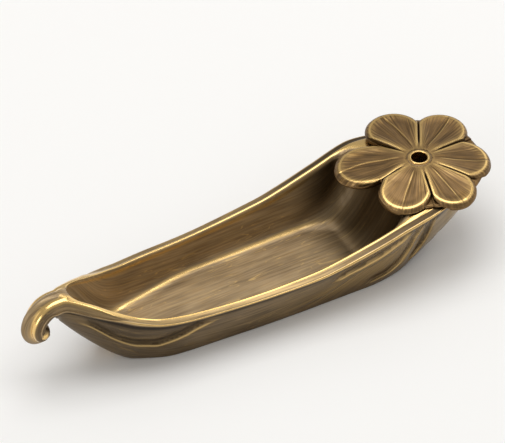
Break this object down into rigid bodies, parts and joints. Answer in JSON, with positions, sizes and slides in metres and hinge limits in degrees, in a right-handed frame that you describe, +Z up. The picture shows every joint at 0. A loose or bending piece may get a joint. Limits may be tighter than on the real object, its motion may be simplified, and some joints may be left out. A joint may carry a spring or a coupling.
{
  "type": "incense boat",
  "caption": "Boat-shaped cast brass ash tray with a scrolled bow and a flower over the stern whose centre hole holds an incense stick.",
  "frame": {"origin": "on the flat base, on the centreline under the middle of the tray", "axes": "+X from the scrolled bow to the flower at the stern, +Y across the tray, +Z up"},
  "size_m": [0.146, 0.043, 0.0286],
  "materials": {
    "hull_brass": "antiqued cast brass, dark in the recesses and polished on the edges",
    "flower_brass": "antiqued cast brass, brushed along the petals",
    "polished_brass": "polished brass lip"
  },
  "bodies": {
    "root": {"hull": "hull_brass", "flower": "flower_brass", "stick_socket": "polished_brass"}
  },
  "joints": []
}
